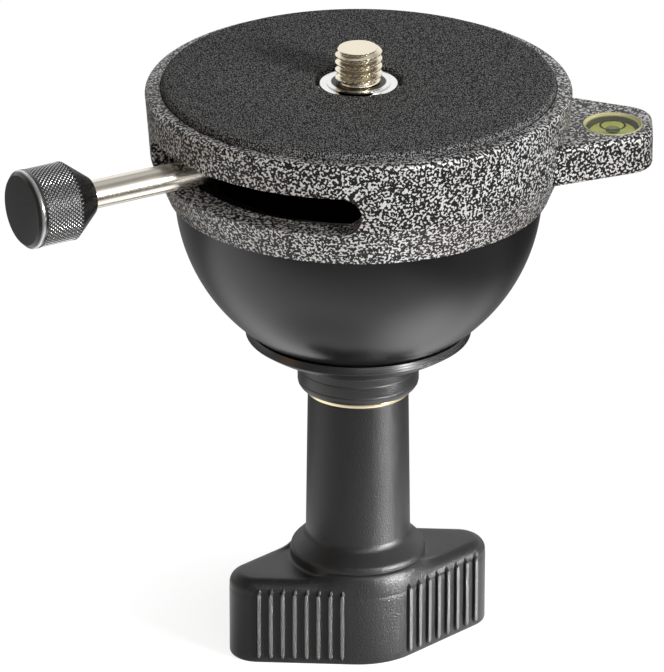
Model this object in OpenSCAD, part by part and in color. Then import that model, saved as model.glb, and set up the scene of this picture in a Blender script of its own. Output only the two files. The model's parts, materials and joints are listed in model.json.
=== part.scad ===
// Half-ball leveling base: a round head on a half ball, clamped to a tripod bowl by a dish
// and a wing-knob handle. The axis of the base is Z, and Z = 0 is the handle's underside.

/* [Handle] */
// Height of the wing knob
wing_h = 18.6; // [15:0.1:24]
// Radius of the wing knob around the axis
wing_hub_r = 15.2; // [14.6:0.1:18]
// Distance from the axis to the centre of a wing tip
wing_reach = 22.15; // [19:0.05:28]
// Radius of a wing tip
wing_tip_r = 6; // [4.5:0.1:8]
// Round along the top edge of the wings
wing_top_round = 2.6; // [1:0.1:3.4]
// Round along the bottom edge of the wings
wing_foot_round = 0.8; // [0.3:0.1:1.5]
// Direction in which the wings point, in degrees about the axis
wing_turn = 21; // [0:1:90]
// Number of grip ribs on each flat of a wing
rib_count = 8; // [3:1:8]
// Distance between neighbouring ribs
rib_pitch = 2.54; // [2:0.02:2.7]
// Distance of the ribs' middle from the middle of their flat, towards the tip
rib_shift = 0.3; // [0:0.05:0.5]
// Width of a rib
rib_w = 1.4; // [0.8:0.1:1.8]
// Height by which a rib stands off its flat
rib_proud = 0.45; // [0.2:0.05:0.6]
// Height of the ribs' lower ends above the underside
rib_foot = 1.3; // [1:0.1:4]
// Distance from the ribs' upper ends to the top of the knob
rib_top = 1.9; // [1:0.1:4]
// Height of the column above the wing knob
column_h = 37.9; // [34:0.1:50]
// Radius of the column at its upper end
column_top_r = 10.4; // [10:0.1:12]
// Radius of the column at the collar
column_foot_r = 10.85; // [10.5:0.05:12.5]
// Radius of the collar between column and wings
collar_r = 14; // [13:0.1:14.5]
// Round of the collar's shoulder
collar_round = 1.6; // [1:0.05:2.2]
// Height of the collar's straight side above the wings
collar_rise = 2.2; // [1:0.1:4]
// Chamfer at the column's upper end
column_chamfer = 0.5; // [0.2:0.1:1]
// Width across the flats of the hexagonal insert
insert_af = 14; // [13:0.1:16]
// Length of the hexagonal insert
insert_l = 22; // [15:0.5:26]

/* [Clamp dish] */
// Thickness of the washer under the dish
washer_t = 0.9; // [0.5:0.1:2]
// Radius of the washer under the dish
washer_r = 10.9; // [9:0.1:12]
// Radius of the dish hub
dish_hub_r = 12.5; // [11.5:0.1:16]
// Chamfer at the foot of the dish hub
dish_hub_chamfer = 0.6; // [0.3:0.1:1.5]
// Thickness of the dish on the axis
dish_floor_t = 6.1; // [5:0.1:10]
// Radius of the dish rim
dish_rim_r = 23.2; // [20:0.1:30]
// Thickness of the dish wall
dish_t = 1.6; // [1.2:0.1:4]
// Width of the flat on top of the dish rim
dish_lip = 0.5; // [0.3:0.1:1.5]
// Depth and half width of the turned grooves on the dish hub
dish_groove = 0.2; // [0.1:0.05:0.5]

/* [Half ball] */
// Radius of the half ball, for a 75 mm bowl
ball_r = 37.5; // [35:0.5:50]
// Width of the ball's shoulder that carries the head
ball_seat = 1.5; // [1:0.1:2]
// Wall of the half ball
ball_wall = 5; // [3:0.5:7]
// Height of the ball's spigot inside the head
spigot_h = 5.5; // [4:0.1:6]
// Wall of the spigot
spigot_wall = 4.85; // [3:0.05:5]
// Radius of the boss that holds the tie bolt
bolt_boss_r = 13; // [11.5:0.1:16]
// Depth of metal under the tie bolt's head
bolt_seat_t = 9.9; // [6:0.1:14]

/* [Tie bolt] */
// Thread radius of the tie bolt
bolt_r = 5; // [4:0.5:5.5]
// Thread pitch of the tie bolt
bolt_pitch = 1.5; // [1:0.25:2]
// Length of the tie bolt below its head
bolt_l = 57; // [50:0.5:60]
// Threaded length of the tie bolt
bolt_thread_l = 38; // [25:0.5:45]
// Width across the flats of the bolt head
bolt_af = 17; // [13:0.5:18]
// Height of the bolt head
bolt_head_h = 6.4; // [4:0.1:8]

/* [Head casting] */
// Height of the head
head_h = 22.6; // [22:0.1:30]
// Wall of the head at its rim
head_wall = 7.3; // [6.6:0.1:9]
// Draft of the head's side between the rim and the waist, off the radius
head_draft = 1; // [0.3:0.1:1.5]
// Height of the waist where the taper to the ball begins
head_waist_h = 8.3; // [6:0.1:10]
// Taper of the head below the waist, off the radius
head_taper = 3.4; // [1:0.1:4]
// Round of the head's upper edge
head_rim_round = 1.2; // [0.5:0.1:2.4]
// Width of the rim around the pad's recess
head_rim_w = 3; // [2.6:0.1:4]
// Depth of the recess for the pad
recess_d = 1.1; // [0.5:0.1:2]
// Thickness of the plate under the pad
plate_t = 5; // [4:0.1:6]
// Distance from the head's seat on the ball up to the ball's centre
seat_drop = 0.5; // [0:0.1:2]

/* [Lever slot] */
// Height of the lever axis above the head's lower edge
lever_rise = 11.75; // [11:0.05:12.2]
// Height of the slot's middle above the head's lower edge
slot_rise = 11.35; // [11:0.05:12]
// Height of the slot
slot_h = 8.4; // [7.6:0.1:9]
// Direction of one end of the slot, in degrees about the axis
slot_from = 194.7; // [190:0.1:200]
// Direction of the other end of the slot, in degrees about the axis
slot_to = 266.1; // [250:0.1:270]

/* [Level ear] */
// Distance from the head's rim out to the centres of the round corners of the ear's tip
ear_out = 10.1; // [9.8:0.1:20]
// Radius of the corners of the ear's tip
ear_tip_r = 6.2; // [6:0.1:8]
// Distance of those corners from the ear's middle line
ear_tip_half = 2.8; // [2.6:0.1:5]
// Thickness of the ear
ear_t = 8.3; // [7:0.1:10]
// Distance from the rim down to the top of the ear
ear_drop = 7.7; // [5:0.1:10]
// Slope of the ear's sides, in degrees
ear_slope = 23; // [5:1:30]
// Distance that the ear's root reaches into the head from the rim
ear_root = 7; // [6:0.1:9]
// Round of the ear's edges
ear_round = 1.1; // [0.4:0.1:2]
// Radius of the level
level_r = 6.1; // [5:0.1:6.2]
// Distance from the head's rim out to the middle of the level
level_out = 8.15; // [7.5:0.05:8.5]
// Distance of the level to the right of the ear's middle, seen from the tip
level_shift = 1.5; // [0:0.1:1.5]
// Height of the level above the ear
level_proud = 0.7; // [0.2:0.1:1.5]
// Depth of the level's pocket in the ear
level_pocket = 6; // [5:0.1:6.5]
// Wall of the level's cup
level_wall = 1.4; // [0.8:0.1:2]
// Floor of the level's cup
level_floor = 1; // [0.6:0.1:1.5]
// Thickness of the level's window
level_window_t = 1.5; // [0.8:0.1:2]
// Radius of the bubble
bubble_r = 1.5; // [1:0.1:2]
// Distance of the bubble from the middle of the level
bubble_off = 1.4; // [0:0.1:1.5]

/* [Pad] */
// Thickness of the pad
pad_t = 2.5; // [2:0.1:4]
// Radius of the hole in the pad
pad_hole_r = 9; // [8.8:0.1:12]

/* [Stud] */
// Thread radius of the stud, 3/8 inch
stud_r = 4.7625; // [3.175:0.0125:4.7625]
// Thread pitch of the stud, 16 turns an inch
stud_pitch = 1.5875; // [1.27:0.0125:1.5875]
// Height of the stud above the pad
stud_rise = 6.9; // [5:0.1:12]
// Radius of the stud's flat point
stud_point_r = 4.1; // [2.4:0.1:4.2]
// Radius of the stud's shank inside the hub
shank_r = 4; // [2.6:0.1:4.2]
// Radius of the hub's journal in the head
journal_r = 6.5; // [6:0.1:7]
// Radius of the hub under the plate
hub_r = 14; // [12.5:0.1:18]
// Height of the hub under the plate
hub_h = 11.7; // [10:0.1:12.5]
// Thickness of the thrust washer between hub and plate
thrust_t = 0.8; // [0.5:0.1:1.2]
// Radius of the thrust washer
thrust_r = 12.5; // [10:0.1:14]
// Thickness of the support washer on the plate
shim_t = 0.7; // [0.3:0.1:0.8]
// Radius of the support washer
shim_r = 8.3; // [7.8:0.1:8.6]
// Thickness of the circlip
clip_t = 1; // [0.8:0.1:1.2]
// Outer radius of the circlip
clip_r = 7.9; // [7.6:0.1:8.2]
// Radius of the groove that holds the circlip
clip_groove_r = 6; // [5.6:0.1:6]
// Radius of the cross pin that locks the stud in the hub
cross_pin_r = 1.5; // [1:0.1:1.7]

/* [Lever] */
// Radius of the lever rod
lever_r = 2.85; // [2.5:0.05:3]
// Direction of the lever, in degrees about the axis
lever_turn = 210.5; // [200:0.5:260]
// Distance from the axis to the end of the lever knob
lever_reach = 78; // [70:0.5:100]
// Radius of the lever knob
knob_r = 8; // [6:0.1:10]
// Length of the lever knob
knob_l = 15.6; // [13:0.1:20]
// Length of the knob's cone
knob_cone_l = 5.3; // [3:0.1:8]
// Radius of the cone's small end
knob_neck_r = 3.9; // [3.6:0.1:5]
// Chamfer at the knob's end
knob_chamfer = 1.3; // [0.5:0.1:2.5]
// Length of the rod held in the knob
knob_grip_l = 10.6; // [8:0.1:11.5]

/* [Ball screws] */
// Number of screws that hold the ball to the head
screw_count = 3; // [3:1:3]
// Direction of the first screw, in degrees about the axis
screw_turn = 51; // [45:1:55]
// Distance from the inside of the head's wall to the middle of the screws
screw_inset = 5.5; // [5.2:0.1:7]
// Thread radius of the screws
screw_r = 2.5; // [2:0.25:2.5]
// Radius of the screw heads
screw_head_r = 4.8; // [3.6:0.1:4.8]
// Length of the screws
screw_l = 26; // [22:0.5:28]
// Radius of the posts that take the screws
post_r = 5; // [4.4:0.1:5]
// Depth of the posts inside the ball
post_l = 14; // [12:0.5:18]

/* [Fits] */
// Radial clearance of a turning fit
run_clear = 0.05; // [0.02:0.01:0.1]
// Clearance of a sliding fit and between the dish and the ball
slide_clear = 0.3; // [0.2:0.05:0.5]
// Clearance of a piece that is pressed, screwed or moulded in
seat_clear = 0.03; // [0.01:0.01:0.05]
// Gap around the pad, the spigot and the level
trim_clear = 0.15; // [0.05:0.05:0.3]

/* [Hidden] */
$fn = 96;
// Overlap that lets a cut run clear of a face
eps = 1;
// Depth of a sharp outside thread as a share of its pitch, and the width of its crest and root
thread_depth = 0.6134;
thread_crest = 1 / 8;
thread_root = 1 / 4;
// Widths of the circlip's gap, lugs and lug holes
clip_gap = 3.8;
clip_lug_r = 1.15;
clip_lug_hole_r = 0.5;
// Angle from each end of the lever's slot in to the middle of its round end
slot_inset = 0.8;
// Heights of the chain from the underside up to the top of the stud
handle_top = wing_h + column_h;
dish_foot = handle_top + washer_t;
ball_z = dish_foot + dish_floor_t + slide_clear + ball_r;
head_foot = ball_z - seat_drop;
head_top = head_foot + head_h;
floor_z = head_top - recess_d;
ceiling_z = floor_z - plate_t;
pad_top = floor_z + pad_t;
stud_top = pad_top + stud_rise;
lever_z = head_foot + lever_rise;
slot_z = head_foot + slot_rise;
hub_top = ceiling_z - thrust_t;
hub_foot = hub_top - hub_h;
clip_z = floor_z + shim_t + run_clear;
journal_top = clip_z + clip_t + run_clear + 0.3;
// Sizes that follow from the driving ones
cavity_r = ball_r - ball_seat;
head_r = cavity_r + head_wall;
pad_r = head_r - head_rim_w - 2 * trim_clear;
screw_ring_r = cavity_r - screw_inset;
ear_x = head_r + ear_out;
level_x = head_r + level_out;
spigot_r = cavity_r - trim_clear;
spigot_top = head_foot + spigot_h;
bolt_seat_z = ball_z - ball_r + bolt_seat_t;
bolt_boss_top = bolt_seat_z + bolt_head_h + 0.2;
bolt_end_z = bolt_seat_z - bolt_l;
dish_in_r = ball_r + slide_clear;
dish_out_r = dish_in_r + dish_t;
dish_rim_z = ball_z - sqrt(pow(dish_in_r, 2) - pow(dish_rim_r - dish_lip, 2));
bolt_hole_r = bolt_r + run_clear;
bolt_pass_r = bolt_r + slide_clear;
wing_slope = asin((wing_hub_r - wing_tip_r) / wing_reach);
wing_flat_l = wing_reach * cos(wing_slope);
ear_top = head_top - ear_drop;
ear_foot = ear_top - ear_t;
level_foot = ear_top - level_pocket;
level_top = ear_top + level_proud;
window_foot = level_top - level_window_t;
chamber_r = level_r - level_wall;
rod_in = shank_r + 1;
rod_out = lever_reach - knob_l + knob_grip_l;
// Radius at the corners of a hexagon with the given width across its flats
function hex_r(af) = af / 2 / cos(30);

// Half outline of a shaft with ring threads between two heights, for turning about Z
module thread_outline(r, pitch, z_from, z_to) {
    core = r - thread_depth * pitch;
    turns = floor((z_to - z_from) / pitch);
    flank = (1 - thread_crest - thread_root) / 2 * pitch;
    teeth = [for (i = [0 : turns - 1], p = [[core, thread_root / 2 * pitch],
        [r, thread_root / 2 * pitch + flank],
        [r, (thread_root / 2 + thread_crest) * pitch + flank],
        [core, (1 - thread_root / 2) * pitch]]) [p[0], z_from + i * pitch + p[1]]];
    polygon(concat([[0, z_from], [core, z_from]], teeth, [[core, z_to], [0, z_to]]));
}

// Flat ring from one height to another
module ring(r_out, r_in, z_from, z_to) {
    translate([0, 0, z_from])
        difference() {
            cylinder(r = r_out, h = z_to - z_from);
            translate([0, 0, -eps])
                cylinder(r = r_in, h = z_to - z_from + 2 * eps);
        }
}

// Round disc with a rounded upper and lower edge, resting at Z = 0
module soft_disc(r, h, top, foot) {
    rotate_extrude($fn = 64)
        union() {
            square([r - top, h]);
            square([r - foot, h - top]);
            translate([0, foot])
                square([r, h - top - foot]);
            translate([r - top, h - top])
                circle(top, $fn = 32);
            translate([r - foot, foot])
                circle(foot, $fn = 32);
        }
}

// The lever's own axis, laid from the base's axis out along +Z
module along_lever() {
    translate([0, 0, lever_z])
        rotate([0, 0, lever_turn])
            rotate([0, 90, 0])
                children();
}

// One copy at each screw, at the screws' distance from the axis
module at_screws() {
    for (i = [0 : screw_count - 1])
        rotate([0, 0, screw_turn + i * 360 / screw_count])
            translate([screw_ring_r, 0, 0])
                children();
}

// Two wings and the round middle that they grow from
module wing_knob() {
    hull() {
        soft_disc(wing_hub_r, wing_h, wing_top_round, wing_foot_round);
        for (side = [-1, 1])
            translate([side * wing_reach, 0, 0])
                soft_disc(wing_tip_r, wing_h, wing_top_round, wing_foot_round);
    }
}

// One grip rib, a bar with round ends that stands at Z = 0
module rib() {
    rib_l = wing_h - rib_foot - rib_top;
    translate([0, 0, rib_w / 2])
        cylinder(d = rib_w, h = rib_l - rib_w, $fn = 24);
    for (z = [rib_w / 2, rib_l - rib_w / 2])
        translate([0, 0, z])
            sphere(d = rib_w, $fn = 24);
}

// The ribs of the flat on one quarter of the knob
module flat_ribs() {
    out = [sin(wing_slope), cos(wing_slope)];
    along = [cos(wing_slope), -sin(wing_slope)];
    depth = wing_hub_r + rib_proud - rib_w / 2;
    for (i = [0 : rib_count - 1]) {
        s = wing_flat_l / 2 + rib_shift + (i - (rib_count - 1) / 2) * rib_pitch;
        spot = out * depth + along * s;
        translate([spot[0], spot[1], rib_foot])
            rib();
    }
}

// Column that flares into a rounded collar where it meets the wings
module column() {
    root = wing_h - wing_top_round;
    collar_z = wing_h + collar_rise;
    // Corner of the flare, a little inside the collar's round
    corner = 0.9 * collar_round * cos(45);
    flare_r = collar_r - collar_round + corner;
    flare_z = collar_z + corner;
    rotate_extrude() {
        polygon([[0, root], [flare_r, root], [flare_r, flare_z],
            [column_foot_r, flare_z + flare_r - column_foot_r], [column_top_r, handle_top - column_chamfer],
            [column_top_r - column_chamfer, handle_top], [0, handle_top]]);
        translate([0, root])
            square([collar_r, collar_z - root]);
        translate([collar_r - collar_round, collar_z])
            circle(collar_round);
    }
}

// Moulded handle: column, collar, wings and ribs, with the pocket of the insert
module handle_body() {
    insert_z = handle_top - insert_l;
    color("#1d1d1f")
        rotate([0, 0, wing_turn])
            difference() {
                union() {
                    wing_knob();
                    column();
                    for (mx = [0, 1], my = [0, 1])
                        mirror([mx, 0, 0])
                            mirror([0, my, 0])
                                flat_ribs();
                }
                translate([0, 0, insert_z])
                    cylinder(r = hex_r(insert_af) + seat_clear, h = insert_l + eps, $fn = 6);
                translate([0, 0, bolt_end_z - eps])
                    cylinder(r = bolt_pass_r, h = insert_z - bolt_end_z + 2 * eps);
            }
}

// Hexagonal threaded bar moulded into the column
module handle_insert() {
    color("#b08d45")
        rotate([0, 0, wing_turn])
            translate([0, 0, handle_top - insert_l])
                difference() {
                    cylinder(r = hex_r(insert_af), h = insert_l, $fn = 6);
                    translate([0, 0, -eps])
                        cylinder(r = bolt_hole_r, h = insert_l + 2 * eps);
                }
}

// Thin washer that the handle turns against
module brass_washer() {
    color("#c9a24a")
        ring(washer_r, bolt_pass_r, handle_top, dish_foot);
}

// Dish that presses the bowl against the ball, with its turned hub
module clamp_dish() {
    groove_z = [for (i = [1, 2]) dish_foot + dish_hub_chamfer + 5 * i * dish_groove];
    color("#202022")
        rotate_extrude()
            difference() {
                intersection() {
                    union() {
                        translate([0, ball_z])
                            circle(dish_out_r);
                        translate([0, dish_foot])
                            square([dish_hub_r, dish_rim_z - dish_foot]);
                    }
                    translate([bolt_pass_r, dish_foot])
                        square([dish_rim_r - bolt_pass_r, dish_rim_z - dish_foot]);
                }
                translate([0, ball_z])
                    circle(dish_in_r);
                polygon([[dish_hub_r - dish_hub_chamfer, dish_foot - eps],
                    [dish_hub_r - dish_hub_chamfer, dish_foot],
                    [dish_hub_r, dish_foot + dish_hub_chamfer],
                    [dish_hub_r + eps, dish_foot + dish_hub_chamfer], [dish_hub_r + eps, dish_foot - eps]]);
                for (z = groove_z)
                    translate([dish_hub_r, z])
                        rotate(45)
                            square(dish_groove * sqrt(2), center = true);
            }
}

// Hollow half ball with its spigot, the bolt's boss and three posts for the screws
module half_ball() {
    color("#161618")
        difference() {
            union() {
                rotate_extrude()
                    difference() {
                        union() {
                            intersection() {
                                translate([0, ball_z])
                                    circle(ball_r);
                                translate([0, ball_z - ball_r - eps])
                                    square([ball_r + eps, ball_r + eps - seat_drop]);
                            }
                            translate([0, head_foot - eps])
                                square([spigot_r, spigot_h + eps]);
                        }
                        intersection() {
                            translate([0, ball_z])
                                circle(ball_r - ball_wall);
                            translate([0, ball_z - ball_r])
                                square([ball_r, ball_r - seat_drop]);
                        }
                        translate([0, head_foot - seat_drop - eps])
                            square([spigot_r - spigot_wall, spigot_h + seat_drop + 2 * eps]);
                    }
                intersection() {
                    translate([0, 0, ball_z])
                        sphere(ball_r - ball_wall / 2);
                    translate([0, 0, ball_z - ball_r])
                        cylinder(r = bolt_boss_r, h = bolt_boss_top - ball_z + ball_r);
                }
                at_screws()
                    translate([0, 0, spigot_top - post_l])
                        cylinder(r = post_r, h = post_l);
            }
            translate([0, 0, ball_z - ball_r - eps])
                cylinder(r = bolt_hole_r, h = ball_r);
            translate([0, 0, bolt_seat_z])
                cylinder(r = hex_r(bolt_af) + seat_clear, h = ball_r, $fn = 6);
            at_screws()
                translate([0, 0, floor_z - screw_l - eps])
                    cylinder(r = screw_r + seat_clear, h = screw_l);
        }
}

// Countersunk screws from the head down into the ball's posts
module ball_screws() {
    head_z = floor_z - 0.1;
    head_l = screw_head_r - screw_r;
    color("#8c8c90")
        at_screws()
            difference() {
                rotate_extrude()
                    polygon([[0, floor_z - screw_l], [screw_r, floor_z - screw_l],
                        [screw_r, head_z - head_l], [screw_head_r, head_z], [0, head_z]]);
                translate([0, 0, head_z - head_l])
                    cylinder(r = hex_r(screw_r), h = head_l + eps, $fn = 6);
            }
}

// Bolt that hangs from the ball through the dish into the handle
module tie_bolt() {
    thread_top = bolt_end_z + bolt_thread_l;
    // The plain shank starts inside the thread's last root and ends inside the head
    shank_z = thread_top - thread_root / 2 * bolt_pitch;
    color("#9a9a9e") {
        rotate_extrude() {
            thread_outline(bolt_r, bolt_pitch, bolt_end_z, thread_top);
            translate([0, shank_z])
                square([bolt_r, bolt_seat_z - shank_z + eps]);
        }
        translate([0, 0, bolt_seat_z])
            cylinder(r = hex_r(bolt_af), h = bolt_head_h, $fn = 6);
    }
}

// Outer form of the head, turned about the axis
module head_drum() {
    waist_r = head_r - head_draft;
    // The side ends a touch inside the rim's round, so that the two cross cleanly
    side_r = head_r - seat_clear;
    rotate_extrude() {
        polygon([[0, head_foot], [waist_r - head_taper, head_foot], [waist_r, head_foot + head_waist_h],
            [side_r, head_top - head_rim_round], [head_r - head_rim_round, head_top], [0, head_top]]);
        translate([head_r - head_rim_round, head_top - head_rim_round])
            circle(head_rim_round);
    }
}

// Ear that carries the level, tapering out of the drum's wall
module ear() {
    root_r = 3;
    root_x = head_r - ear_root;
    widen = (ear_tip_r - root_r + sin(ear_slope) * (ear_x - root_x)) / cos(ear_slope);
    root_y = ear_tip_half + widen;
    translate([0, 0, ear_foot])
        hull()
            for (side = [-1, 1]) {
                translate([ear_x, side * ear_tip_half, 0])
                    soft_disc(ear_tip_r, ear_t, ear_round, ear_round);
                translate([root_x, side * root_y, 0])
                    soft_disc(root_r, ear_t, ear_round, ear_round);
            }
}

// Straight run of the lever's slot, a ring sector through the drum's wall
module slot_sweep() {
    slot_in = cavity_r - 4 * eps;
    slot_out = head_r + 4 * eps;
    rotate([0, 0, slot_from])
        rotate_extrude(angle = slot_to - slot_from)
            translate([slot_in, slot_z - slot_h / 2])
                square([slot_out - slot_in, slot_h]);
}

// Round end of the lever's slot, a touch narrower than the slot
module slot_end(direction) {
    translate([0, 0, slot_z])
        rotate([0, 0, direction])
            rotate([0, 90, 0])
                translate([0, 0, cavity_r - 6 * eps])
                    cylinder(d = slot_h - 2 * trim_clear, h = head_wall + 12 * eps);
}

// Cast head: drum, ear, pad recess, lever slot and the posts for the screws
module head_casting() {
    post_foot = spigot_top + trim_clear;
    web_w = 4;
    color("#4a4a4c")
        difference() {
            union() {
                difference() {
                    union() {
                        head_drum();
                        ear();
                    }
                    translate([0, 0, head_foot - eps])
                        cylinder(r = cavity_r, h = ceiling_z - head_foot + eps);
                }
                at_screws() {
                    translate([0, 0, post_foot])
                        cylinder(r = post_r, h = ceiling_z - post_foot + eps);
                    translate([0, -web_w / 2, post_foot + 1])
                        cube([head_r - head_wall / 2 - screw_ring_r, web_w, ceiling_z - post_foot]);
                }
            }
            slot_sweep();
            slot_end(slot_from + slot_inset);
            slot_end(slot_to - slot_inset);
            translate([0, 0, floor_z])
                cylinder(r = head_r - head_rim_w, h = recess_d + eps);
            translate([0, 0, ceiling_z - eps])
                cylinder(r = journal_r + run_clear, h = plate_t + 2 * eps);
            translate([level_x, -level_shift, level_foot])
                cylinder(r = level_r + trim_clear, h = level_pocket + eps);
            at_screws() {
                translate([0, 0, post_foot - eps])
                    cylinder(r = screw_r + trim_clear, h = floor_z - post_foot + eps);
                translate([0, 0, floor_z - screw_head_r + screw_r - trim_clear])
                    cylinder(r1 = screw_r + trim_clear, r2 = screw_head_r + trim_clear + eps,
                        h = screw_head_r - screw_r + eps);
            }
        }
}

// Rubber pad that grips the camera head
module rubber_pad() {
    color("#3c3c3e")
        ring(pad_r, pad_hole_r, floor_z, pad_top);
}

// Clear cup of the round level
module level_cup() {
    color("#e6e9d8")
        translate([level_x, -level_shift, 0])
            difference() {
                translate([0, 0, level_foot])
                    cylinder(r = level_r, h = window_foot - level_foot);
                translate([0, 0, level_foot + level_floor])
                    cylinder(r = chamber_r, h = window_foot - level_foot);
            }
}

// Clear window of the level, with a softened edge
module level_window() {
    edge = 0.3;
    color("#f0f2e6")
        translate([level_x, -level_shift, 0])
            rotate_extrude()
                polygon([[0, window_foot], [level_r, window_foot], [level_r, level_top - edge],
                    [level_r - edge, level_top], [0, level_top]]);
}

// Where the bubble lies, a round cap under the window
module bubble_place() {
    cap_h = 0.9;
    ball = (pow(bubble_r, 2) + pow(cap_h, 2)) / 2 / cap_h;
    translate([level_x, -level_shift - bubble_off, window_foot])
        intersection() {
            translate([0, 0, ball - cap_h])
                sphere(ball);
            translate([-ball, -ball, -cap_h])
                cube([2 * ball, 2 * ball, cap_h]);
        }
}

// Coloured liquid in the cup, hollow where the bubble lies
module level_liquid() {
    color("#c6d24c")
        difference() {
            translate([level_x, -level_shift, level_foot + level_floor])
                cylinder(r = chamber_r - seat_clear, h = window_foot - level_foot - level_floor);
            bubble_place();
        }
}

// The bubble itself
module level_bubble() {
    color("#e4ee9a")
        bubble_place();
}

// Turned hub under the plate, with a journal that runs in the plate and carries the circlip
module stud_hub() {
    edge = 0.6;
    color("#a8a8ac")
        difference() {
            rotate_extrude()
                polygon([[shank_r + seat_clear, hub_foot], [hub_r - edge, hub_foot],
                    [hub_r, hub_foot + edge], [hub_r, hub_top - edge], [hub_r - edge, hub_top],
                    [journal_r, hub_top], [journal_r, clip_z - run_clear],
                    [clip_groove_r, clip_z - run_clear], [clip_groove_r, clip_z + clip_t + run_clear],
                    [journal_r, clip_z + clip_t + run_clear], [journal_r, journal_top],
                    [shank_r + seat_clear, journal_top]]);
            along_lever()
                translate([0, 0, rod_in])
                    cylinder(r = lever_r + seat_clear, h = hub_r);
            cross_pin_place(seat_clear, hub_r + eps);
        }
}

// Line of the cross pin, square to the lever
module cross_pin_place(clear, half_l) {
    translate([0, 0, hub_foot + 1.8 * cross_pin_r])
        rotate([0, 0, lever_turn + 90])
            rotate([0, 90, 0])
                translate([0, 0, -half_l])
                    cylinder(r = cross_pin_r + clear, h = 2 * half_l);
}

// Threaded stud that screws into the camera head
module mounting_stud() {
    thread_foot = pad_top + 0.1;
    point_h = stud_r - stud_point_r;
    color("#c9c2b4")
        difference() {
            intersection() {
                union() {
                    rotate_extrude()
                        thread_outline(stud_r, stud_pitch, thread_foot, stud_top);
                    translate([0, 0, hub_foot])
                        cylinder(r = shank_r, h = thread_foot - hub_foot + eps / 4);
                }
                rotate_extrude()
                    polygon([[0, hub_foot], [stud_r + eps, hub_foot], [stud_r + eps, stud_top - point_h - eps],
                        [stud_point_r, stud_top], [0, stud_top]]);
            }
            cross_pin_place(seat_clear, hub_r);
        }
}

// Pin that keeps the stud from turning in the hub
module cross_pin() {
    color("#808084")
        cross_pin_place(0, hub_r - 1);
}

// Washer between the hub and the plate
module thrust_washer() {
    color("#d8d4c4")
        ring(thrust_r, journal_r + run_clear, hub_top, ceiling_z);
}

// Washer on the plate under the circlip
module support_washer() {
    color("#b4b4b8")
        ring(shim_r, journal_r + run_clear, floor_z, floor_z + shim_t);
}

// Spring ring in the journal's groove, with its gap and lugs towards the front
module circlip() {
    bore_r = clip_groove_r + run_clear;
    lug_y = -(clip_r + bore_r) / 2;
    lug_x = clip_gap / 2 + clip_lug_r;
    color("#dcdce0")
        translate([0, 0, clip_z])
            linear_extrude(clip_t)
                difference() {
                    union() {
                        circle(clip_r);
                        for (side = [-1, 1])
                            translate([side * lug_x, lug_y])
                                circle(clip_lug_r);
                    }
                    circle(bore_r);
                    translate([-clip_gap / 2, -2 * clip_r])
                        square([clip_gap, 2 * clip_r]);
                    for (side = [-1, 1])
                        translate([side * lug_x, lug_y])
                            circle(clip_lug_hole_r);
                }
}

// Straight rod from the hub out to the knob
module lever_rod() {
    edge = 0.5;
    color("#b9b4aa")
        along_lever()
            rotate_extrude()
                polygon([[0, rod_in], [lever_r - edge, rod_in], [lever_r, rod_in + edge],
                    [lever_r, rod_out - edge], [lever_r - edge, rod_out], [0, rod_out]]);
}

// Knob on the rod's end: a cone, a gripping barrel and a chamfered end
module lever_knob() {
    knob_in = lever_reach - knob_l;
    bore_end = rod_out + seat_clear;
    color("#1b1b1d")
        along_lever()
            rotate_extrude()
                polygon([[lever_r + seat_clear, knob_in], [knob_neck_r, knob_in],
                    [knob_r, knob_in + knob_cone_l], [knob_r, lever_reach - knob_chamfer],
                    [knob_r - knob_chamfer, lever_reach], [0, lever_reach], [0, bore_end],
                    [lever_r + seat_clear, bore_end]]);
}

handle_body();
handle_insert();
brass_washer();
clamp_dish();
half_ball();
ball_screws();
tie_bolt();
head_casting();
rubber_pad();
level_cup();
level_window();
level_liquid();
level_bubble();
stud_hub();
mounting_stud();
cross_pin();
thrust_washer();
support_washer();
circlip();
lever_rod();
lever_knob();
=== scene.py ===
# %% [markdown]
# # A half-ball leveling base
# A leveling base sits in the bowl of a tripod and tilts there until its bubble level is centred.
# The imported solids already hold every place, size and joint. This lesson lays finished surfaces
# over them: moulded plastic, cast metal in hammertone paint, a turned dish, a rolled knurl and a
# cut thread. Nearly every new surface is a grid of points, so its formula can be read in the code.
# Lengths are in millimetres until a mesh or a node takes them in metres.

# %% Load the frame
import json
import math

import bmesh
import bpy
import numpy as np
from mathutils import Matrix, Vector


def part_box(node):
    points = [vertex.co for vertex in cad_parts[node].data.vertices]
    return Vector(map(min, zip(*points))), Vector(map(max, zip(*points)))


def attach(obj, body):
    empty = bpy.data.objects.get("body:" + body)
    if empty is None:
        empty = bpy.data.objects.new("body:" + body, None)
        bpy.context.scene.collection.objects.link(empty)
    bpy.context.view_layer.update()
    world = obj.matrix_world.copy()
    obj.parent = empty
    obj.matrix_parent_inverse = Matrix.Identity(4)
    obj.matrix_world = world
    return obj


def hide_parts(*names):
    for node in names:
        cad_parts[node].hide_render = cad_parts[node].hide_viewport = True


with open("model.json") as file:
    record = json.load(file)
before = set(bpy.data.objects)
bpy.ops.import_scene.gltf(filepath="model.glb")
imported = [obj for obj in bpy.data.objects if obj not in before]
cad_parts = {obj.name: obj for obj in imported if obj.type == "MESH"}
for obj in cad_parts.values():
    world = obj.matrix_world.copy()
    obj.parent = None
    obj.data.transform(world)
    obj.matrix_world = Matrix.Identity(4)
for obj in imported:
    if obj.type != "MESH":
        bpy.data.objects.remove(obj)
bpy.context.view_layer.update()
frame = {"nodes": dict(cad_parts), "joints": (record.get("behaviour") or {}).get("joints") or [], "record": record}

MM = 0.001
scene = bpy.context.scene
scene.view_settings.view_transform = "Standard"


def span(node):
    """Lowest and highest corner of a solid, in millimetres."""
    return [np.array(corner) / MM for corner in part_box(node)]


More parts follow.
